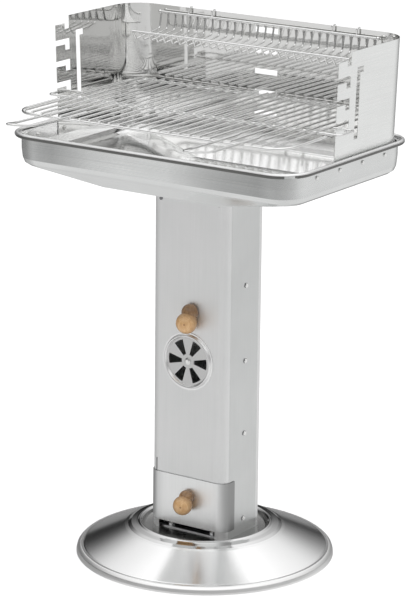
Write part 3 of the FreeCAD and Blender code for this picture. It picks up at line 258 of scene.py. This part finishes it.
# painted shade: the lower half of the rim roll is made nearly black, like the shade under the roll
M["rim_under"] = steel("rim_roll_underside_painted_shade", (0.17, 0.17, 0.165), (0.30, 0.40), mottle=0.10)
M["shield"] = steel("shield_satin_outside", (0.93, 0.94, 0.93), (0.24, 0.32), brush=(8, 8, 700), grain=0.03, dents=0.05, mottle=0.03)
M["shield_in"] = steel("shield_mirror_inside", (0.78, 0.78, 0.77), (0.03, 0.055), brush=(8, 8, 500), grain=0.006, dents=0.05, dent_scale=5.0, mottle=0.02, streak=0.05)
M["base_lip"] = steel("base_rolled_lip", (0.97, 0.97, 0.965), (0.34, 0.44), mottle=0.03)
M["base_ring"] = steel("base_ring_polish", (0.72, 0.72, 0.72), (0.06, 0.10), mottle=0.02)
# painted shade: the well round the column foot gets a much darker copy of the base steel
M["base_well_painted_shade"] = steel("base_well_painted_shade", (0.46, 0.46, 0.455), (0.22, 0.30), mottle=0.04)
M["base"] = steel("base_spun_polish", (0.92, 0.92, 0.92), (0.15, 0.21), aniso=0.75, turn=0.25, dents=0.012, mottle=0.02)
M["vent_bead"] = steel("vent_bead_polish", (1.0, 1.0, 0.995), (0.30, 0.38), mottle=0.02)
M["vent"] = steel("vent_bright", (0.68, 0.68, 0.675), (0.32, 0.40), brush=(400, 400, 400), mottle=0.03)
M["zinc"] = steel("zinc_plate", (0.90, 0.91, 0.925), (0.24, 0.34), mottle=0.06)
M["fix"] = steel("zinc_fixings", (0.95, 0.95, 0.945), (0.22, 0.30), mottle=0.05)
M["screw"] = steel("stainless_screws", (0.90, 0.90, 0.89), (0.22, 0.30), mottle=0.05)
# dark spring steel for the flap clip; also used as painted shade on screw-head rims and on one top screw
M["clip_and_painted_shade"] = steel("spring_clip_and_painted_shade_rims", (0.24, 0.24, 0.25), (0.30, 0.40))
M["chrome"] = steel("chrome_wire", (0.97, 0.97, 0.965), (0.20, 0.27), mottle=0.02)
M["rod"] = steel("chrome_rod", (0.80, 0.80, 0.80), (0.10, 0.16), mottle=0.03)
M["wire"] = steel("plain_wire", (0.90, 0.90, 0.89), (0.22, 0.30), mottle=0.05)
BALLS = {"flap_knob": ((0.007, -0.0721, 0.4208), 0.0179), "drawer_knob": ((0.0039, -0.0746, 0.1011), 0.0164)}
FACING = (0.36, -0.92, 0.10)
for nm, (c, r) in BALLS.items():
    M[nm] = wood(nm + "_beech", c, FACING, True, r)
    M[nm + "_foot"] = wood(nm + "_dark_beech", c, (0, -0.53, -0.85), False, r)

FINISH = {
    "base_dish": "base", "foot_bracket": "zinc", "foot_bolts": "fix", "foot_side_screws": "screw",
    "column_front_shell": "column", "column_rear_shell": "column", "column_side_screws": "screw", "column_top_screws": "column",
    "drawer_runner_left": "zinc", "drawer_runner_right": "zinc", "column_collar": "zinc", "collar_bolts": "fix",
    "tray": "tray", "windshield": "shield", "tray_wall_screws": "screw", "vent_rivet": "screw", "vent_washer": "fix",
    "flap_bush_front": "fix", "flap_bush_rear": "fix", "vent_disc": "vent", "flap_rod": "rod", "flap_plate": "zinc",
    "flap_screws": "fix", "flap_clip": "clip_and_painted_shade", "flap_knob": "flap_knob", "drawer_front_cover": "cover", "ash_pan": "zinc",
    "drawer_knob": "drawer_knob", "drawer_knob_stud": "rod", "cooking_grate": "chrome", "grate_handle_left": "chrome",
    "grate_handle_right": "chrome", "grate_lug_left": "chrome", "grate_lug_right": "chrome", "grate_tongue": "chrome",
    "warming_rack": "chrome", "charcoal_grate": "wire"}

for name, ob in nodes.items():
    mat = M[FINISH[name]]
    if not ob.material_slots:
        ob.data.materials.append(mat)
    for s_ in ob.material_slots:
        s_.material = mat
    ob.data.set_sharp_from_angle(angle=math.radians(32))
    for p in ob.data.polygons:
        p.use_smooth = True


def second_finish(node, mat, chosen):
    """Gives the faces that the test picks a second finish."""
    ob = nodes[node]
    ob.data.materials.append(mat)
    k = len(ob.material_slots) - 1
    ob.material_slots[k].material = mat
    for p in ob.data.polygons:
        if chosen(p.center, p.normal):
            p.material_index = k


def shield_inside(c, n):
    if abs(n.z) > 0.7:
        return False
    return n.x * c.x + n.y * (c.y + 0.04) < -0.05


def tray_inside(c, n):
    if c.z > 0.7235 or c.z < 0.640:
        return False
    if abs(n.z) < 0.25:
        return n.x * c.x + n.y * c.y < 0 and abs(c.x) < 0.2755 and abs(c.y) < 0.1800
    return n.z > 0.25 and abs(c.x) < 0.2745 and abs(c.y) < 0.1791


second_finish("windshield", M["shield_in"], shield_inside)
second_finish("tray", M["tray_under"], lambda c, n: c.z < 0.690 and n.z < -0.30)
second_finish("tray", M["tray_in"], tray_inside)
second_finish("tray", M["tray_shelf"], lambda c, n: n.z > 0.9 and c.x < -0.140 and 0.665 < c.z < 0.680 and abs(c.x) < 0.2745)
# painted light on the upper faces of the rim roll
second_finish("tray", M["rim_top"], lambda c, n: c.z > 0.7195 and n.z > 0.05)
# painted shade on the down-facing faces of the rim roll
second_finish("tray", M["rim_under"], lambda c, n: 0.7185 < c.z < 0.7256 and n.z < 0.22 and (abs(c.x) > 0.2750 or abs(c.y) > 0.1802))
# painted shade on the side faces of the front shell
second_finish("column_front_shell", M["column_side"], lambda c, n: abs(n.x) > 0.96)
vc = nodes["vent_disc"].data.polygons
vx = 0.5 * (min(p.center.x for p in vc) + max(p.center.x for p in vc))
second_finish("vent_disc", M["vent_bead"], lambda c, n: math.hypot(c.x - vx, c.z - 0.350) > 0.0405)
# painted shade: the rims of the side screw heads are made dark
second_finish("column_side_screws", M["clip_and_painted_shade"], lambda c, n: abs(n.x) < 0.35)
second_finish("foot_side_screws", M["clip_and_painted_shade"], lambda c, n: abs(n.x) < 0.35)
# painted shade: the faces of the front-left top screw are made dark
second_finish("column_top_screws", M["clip_and_painted_shade"], lambda c, n: c.x < 0 and c.y < 0)
for nm, (c, r) in BALLS.items():
    second_finish(nm, M[nm + "_foot"], lambda p, n, c=Vector(c), r=r: (p - c).length > r * 1.012)


# ------------------------------------------------------------------ mesh helpers
def obj_from(name, verts, faces, mat, body, smooth=True, matrix=None):
    me = bpy.data.meshes.new(name)
    me.from_pydata([tuple(v) for v in verts], [], faces)
    me.update()
    ob = bpy.data.objects.new(name, me)
    scene.collection.objects.link(ob)
    me.materials.append(mat)
    bm = bmesh.new()
    bm.from_mesh(me)
    bmesh.ops.remove_doubles(bm, verts=bm.verts, dist=1e-7)
    bmesh.ops.recalc_face_normals(bm, faces=bm.faces)
    bm.to_mesh(me)
    bm.free()
    if smooth:
        me.set_sharp_from_angle(angle=math.radians(38))
        for p in me.polygons:
            p.use_smooth = True
    if matrix is not None:
        ob.matrix_world = matrix
    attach(ob, body)
    return ob


def spin(profile, seg, closed=False):
    """Verts and faces of a profile of (r, z) spun about Z; r = 0 ends close on the axis."""
    verts, faces, rings = [], [], []
    for r, z in profile:
        if r < 1e-9:
            rings.append([len(verts)] * seg)
            verts.append((0, 0, z))
        else:
            base = len(verts)
            for k in range(seg):
                a = 2 * math.pi * k / seg
                verts.append((r * math.cos(a), r * math.sin(a), z))
            rings.append(list(range(base, base + seg)))
    n = len(rings)
    for i in range(n if closed else n - 1):
        A, B = rings[i], rings[(i + 1) % n]
        for k in range(seg):
            q = (k + 1) % seg
            f = [A[k], A[q], B[q], B[k]]
            f = [v for j, v in enumerate(f) if v not in f[:j]]
            if len(f) >= 3:
                faces.append(f)
    return verts, faces


def round_profile(pts, radii, steps=6):
    """Rounds the corners of an open profile of points by the given radii."""
    out = [pts[0]]
    for i in range(1, len(pts) - 1):
        r = radii[i] if isinstance(radii, (list, tuple)) else radii
        p, a, b = Vector(pts[i]), Vector(pts[i - 1]), Vector(pts[i + 1])
        if r <= 0:
            out.append(tuple(p))
            continue
        u, w = (a - p), (b - p)
        lu, lw = u.length, w.length
        u.normalize()
        w.normalize()
        ang = u.angle(w)
        d = min(r / math.tan(ang / 2), 0.48 * lu, 0.48 * lw)
        rr = d * math.tan(ang / 2)
        c = p + (u + w).normalized() * (rr / math.sin(ang / 2))
        s, e = p + u * d - c, p + w * d - c
        tot = s.angle(e)
        sg = 1 if (s.x * e.y - s.y * e.x) > 0 else -1
        for k in range(steps + 1):
            t = sg * tot * k / steps
            out.append((c.x + s.x * math.cos(t) - s.y * math.sin(t), c.y + s.x * math.sin(t) + s.y * math.cos(t)))
    out.append(pts[-1])
    return out


MM = 0.001

# ------------------------------------------------------------------ base dish, spun and mirror polished
top = [(0, 45.5), (103.0, 45.5), (105.0, 47.4), (107.3, 52.4), (111.0, 56.0), (114.6, 53.2), (117.6, 52.4), (126.0, 50.9), (131.4, 47.8),
       (137.0, 45.9), (206.2, 14.2), (208.0, 13.0), (213.8, 13.3), (218.4, 8.6), (219.8, 3.2), (220.0, 0.0)]
rad = [0, 1.2, 1.5, 1.6, 2.4, 1.4, 1.0, 1.0, 1.0, 1.5, 1.0, 1.0, 5.0, 4.0, 2.0, 0]
outer = round_profile(top, rad, 7)
under = [(219.0, 0.0), (218.8, 3.0), (217.4, 8.0), (213.4, 12.1), (208.0, 11.8), (205.6, 13.0), (136.4, 44.8), (130.8, 46.7), (125.4, 49.8),
         (117.4, 51.2), (114.2, 52.0), (111.0, 54.4), (108.2, 51.6), (105.9, 46.6), (103.6, 44.5), (0, 44.5)]
prof = [(r * MM, z * MM) for r, z in outer + under]
v, f = spin(prof, 224)
base = obj_from("base_dish_spun", v, f, M["base"], "stand")
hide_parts("base_dish")
base.data.materials.append(M["base_lip"])
base.data.materials.append(M["base_well_painted_shade"])
base.data.materials.append(M["base_ring"])
for p in base.data.polygons:
    rr = math.hypot(p.center.x, p.center.y)
    if rr > 0.2082 and (p.center.z < 0.0125 or rr > 0.212):
        p.material_index = 1
    # painted shade in the well
    elif rr < 0.1066:
        p.material_index = 2
    elif rr < 0.1318:
        p.material_index = 3

# ------------------------------------------------------------------ floor, world and lights
fl = bpy.data.meshes.new("floor")
fl.from_pydata([(-14, -14, 0), (14, -14, 0), (14, 14, 0), (-14, 14, 0)], [], [(0, 1, 2, 3)])
floor = bpy.data.objects.new("floor", fl)
scene.collection.objects.link(floor)
mt, nt, b = material("floor_white")
b.inputs["Base Color"].default_value = (0.92, 0.92, 0.92, 1)
b.inputs["Roughness"].default_value = 0.9
b.inputs["Specular IOR Level"].default_value = 0.1
b.inputs["Emission Color"].default_value = (1, 1, 1, 1)
b.inputs["Emission Strength"].default_value = 0.28
fl.materials.append(mt)
floor.visible_glossy = False

world = bpy.data.worlds.new("studio")
scene.world = world
world.use_nodes = True
wt = NT(world.node_tree)
bg = world.node_tree.nodes["Background"]
tc = wt.add("ShaderNodeTexCoord")
sp = wt.add("ShaderNodeSeparateXYZ")
wt.link(tc.outputs["Generated"], sp.inputs[0])
# brightness by height: dark horizon, white soft boxes overhead and white cards low down around the object
def by_height(stops):
    tilt = wt.math("ADD", sp.outputs["Z"], wt.math("MULTIPLY", wt.math("MINIMUM", wt.math("ADD", sp.outputs["X"], 0.30), 0.0), 0.22))
    return wt.ramp(wt.maprange(tilt, -1.0, 1.0, 0.0, 1.0), [((z + 1.0) / 2.0, (v, v, v)) for z, v in stops])


level = by_height([(-1.0, 0.70), (-0.60, 0.78), (-0.40, 0.84), (-0.12, 0.84), (-0.05, 0.40), (-0.01, 0.05), (0.06, 0.02),
                   (0.16, 0.06), (0.26, 0.19), (0.38, 0.47), (0.48, 0.70), (0.58, 0.88), (0.72, 1.0), (0.80, 1.10), (0.86, 1.20), (0.92, 1.20), (1.0, 1.25)])
# the walls are dimmer behind the camera and far to the left, a little brighter on the right
side = wt.math("ADD", wt.math("MULTIPLY", sp.outputs["X"], 0.556), wt.math("MULTIPLY", sp.outputs["Y"], -0.831))
dim = wt.math("MULTIPLY", wt.maprange(side, 0.45, 0.95, 1.0, 0.84), wt.maprange(sp.outputs["X"], -0.97, -0.62, 0.42, 1.0))
left = wt.math("ADD", wt.math("MULTIPLY", sp.outputs["X"], -0.50), wt.math("MULTIPLY", sp.outputs["Y"], 0.866))
below = wt.maprange(sp.outputs["Z"], -0.02, 0.10, 1.0, 0.0)
dim = wt.math("MULTIPLY", dim, wt.math("SUBTRACT", 1.0, wt.math("MULTIPLY", wt.maprange(left, 0.60, 0.90, 0.0, 0.65), below)))
low = wt.maprange(sp.outputs["Z"], 0.35, 0.60, 1.0, 0.0)
dim = wt.math("SUBTRACT", 1.0, wt.math("MULTIPLY", wt.math("SUBTRACT", 1.0, dim), low))
wall = wt.math("MULTIPLY", wt.maprange(sp.outputs["X"], -0.42, -0.02, 0.0, 0.30), wt.maprange(wt.math("ABSOLUTE", wt.math("SUBTRACT", sp.outputs["Z"], 0.07)), 0.10, 0.30, 1.0, 0.0))
level = wt.mix(wall, level, (1.0, 1.0, 1.0))
path = wt.add("ShaderNodeLightPath")
seen = path.outputs["Is Camera Ray"]
wt.link(wt.mix(seen, level, (1.0, 1.0, 1.0)), bg.inputs["Color"])
wt.link(wt.math("MAXIMUM", dim, seen), bg.inputs["Strength"])


def area(name, loc, target, size, power, size_y=None):
    ld = bpy.data.lights.new(name, "AREA")
    ld.energy = power
    ld.shape = "RECTANGLE"
    ld.size = size
    ld.size_y = size_y or size
    ob = bpy.data.objects.new(name, ld)
    scene.collection.objects.link(ob)
    ob.location = loc
    ob.rotation_euler = (Vector(target) - Vector(loc)).to_track_quat("-Z", "Y").to_euler()
    ob.visible_glossy = False
    return ob


area("top_soft", (0.2, -0.4, 3.4), (0, 0, 0.4), 3.0, 16)
area("left_soft", (-3.0, -2.0, 1.8), (0, 0, 0.6), 1.6, 12, 2.4)
area("right_soft", (2.6, 0.6, 1.6), (0, 0, 0.6), 1.2, 8, 2.2)
